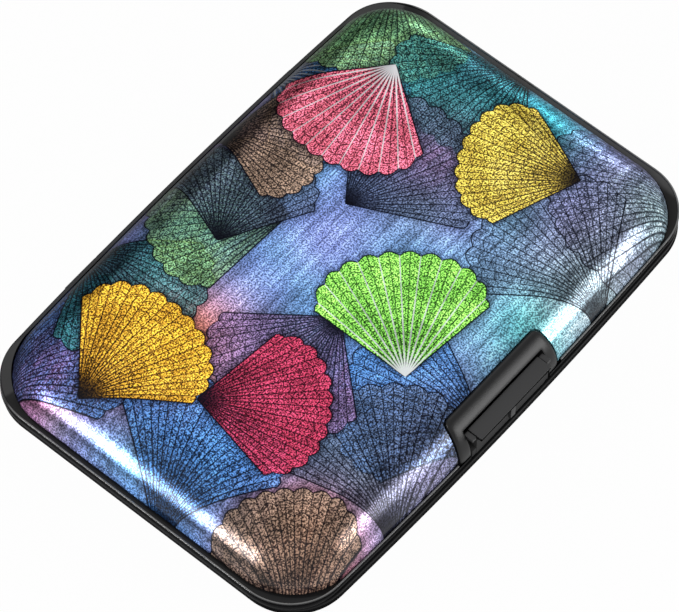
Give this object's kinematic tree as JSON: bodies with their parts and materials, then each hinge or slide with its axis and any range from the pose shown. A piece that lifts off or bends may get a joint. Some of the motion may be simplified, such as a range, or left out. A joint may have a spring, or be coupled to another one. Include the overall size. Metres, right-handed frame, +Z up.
{
  "type": "card holder",
  "caption": "Hard clam-shell card holder with rolled aluminium covers in black moulded frames, a hinged lid, a press latch and a pleated accordion of pockets.",
  "frame": {"origin": "centre of the flat underside of the base cover", "axes": "+X along the hinge, +Y from the latch to the hinge, +Z up through the closed case"},
  "size_m": [0.11, 0.0762, 0.02],
  "materials": {
    "printed_aluminium": "thin anodised sheet, brushed, printed all over in iridescent blues, gold, green and rose",
    "plain_aluminium": "thin anodised sheet, brushed",
    "frame_plastic": "black moulded ABS, polished",
    "tab_plastic": "black moulded ABS, fine satin texture",
    "leaf_plastic": "dark polypropylene sheet",
    "film_plastic": "thin folded polypropylene film",
    "steel": "drawn steel",
    "foam": "white foam tape"
  },
  "bodies": {
    "base": {"base_cover": "plain_aluminium", "base_frame": "frame_plastic", "hinge_pin": "steel", "latch_pin": "steel", "latch_spring": "steel", "leaf_1": "leaf_plastic", "base_pad": "foam", "gusset_1": "film_plastic", "gusset_2": "film_plastic", "gusset_3": "film_plastic", "gusset_4": "film_plastic", "gusset_5": "film_plastic", "gusset_6": "film_plastic", "gusset_7": "film_plastic"},
    "lid": {"lid_cover": "printed_aluminium", "lid_frame": "frame_plastic", "latch_housing": "frame_plastic", "leaf_8": "leaf_plastic", "lid_pad": "foam"},
    "tongue": {"latch_tongue": "tab_plastic"},
    "leaf_2": {"leaf_2": "leaf_plastic"},
    "leaf_3": {"leaf_3": "leaf_plastic"},
    "leaf_4": {"leaf_4": "leaf_plastic"},
    "leaf_5": {"leaf_5": "leaf_plastic"},
    "leaf_6": {"leaf_6": "leaf_plastic"},
    "leaf_7": {"leaf_7": "leaf_plastic"}
  },
  "joints": [
    {"name": "lid_hinge", "type": "hinge", "parent": "base", "child": "lid", "pos_m": [0, 0.037, 0.01], "axis": [-1, 0, 0], "range_deg": [0, 60], "deforming": ["gusset_1", "gusset_2", "gusset_3", "gusset_4", "gusset_5", "gusset_6", "gusset_7"]},
    {"name": "leaf_2_hinge", "type": "hinge", "parent": "base", "child": "leaf_2", "pos_m": [0, 0.037, 0.01], "axis": [-1, 0, 0], "range_deg": [0, 8.57]},
    {"name": "leaf_3_hinge", "type": "hinge", "parent": "base", "child": "leaf_3", "pos_m": [0, 0.037, 0.01], "axis": [-1, 0, 0], "range_deg": [0, 17.14]},
    {"name": "leaf_4_hinge", "type": "hinge", "parent": "base", "child": "leaf_4", "pos_m": [0, 0.037, 0.01], "axis": [-1, 0, 0], "range_deg": [0, 25.71]},
    {"name": "leaf_5_hinge", "type": "hinge", "parent": "base", "child": "leaf_5", "pos_m": [0, 0.037, 0.01], "axis": [-1, 0, 0], "range_deg": [0, 34.29]},
    {"name": "leaf_6_hinge", "type": "hinge", "parent": "base", "child": "leaf_6", "pos_m": [0, 0.037, 0.01], "axis": [-1, 0, 0], "range_deg": [0, 42.86]},
    {"name": "leaf_7_hinge", "type": "hinge", "parent": "base", "child": "leaf_7", "pos_m": [0, 0.037, 0.01], "axis": [-1, 0, 0], "range_deg": [0, 51.43]},
    {"name": "latch_press", "type": "hinge", "parent": "base", "child": "tongue", "pos_m": [0, -0.0347, 0.0091], "axis": [-1, 0, 0], "range_deg": [0, 8], "stiffness_Nm_per_rad": 0.2, "deforming": ["latch_spring"]}
  ],
  "couplings": [
    {"joint": "leaf_2_hinge", "follows": "lid_hinge", "ratio": 0.14286},
    {"joint": "leaf_3_hinge", "follows": "lid_hinge", "ratio": 0.28571},
    {"joint": "leaf_4_hinge", "follows": "lid_hinge", "ratio": 0.42857},
    {"joint": "leaf_5_hinge", "follows": "lid_hinge", "ratio": 0.57143},
    {"joint": "leaf_6_hinge", "follows": "lid_hinge", "ratio": 0.71429},
    {"joint": "leaf_7_hinge", "follows": "lid_hinge", "ratio": 0.85714}
  ]
}
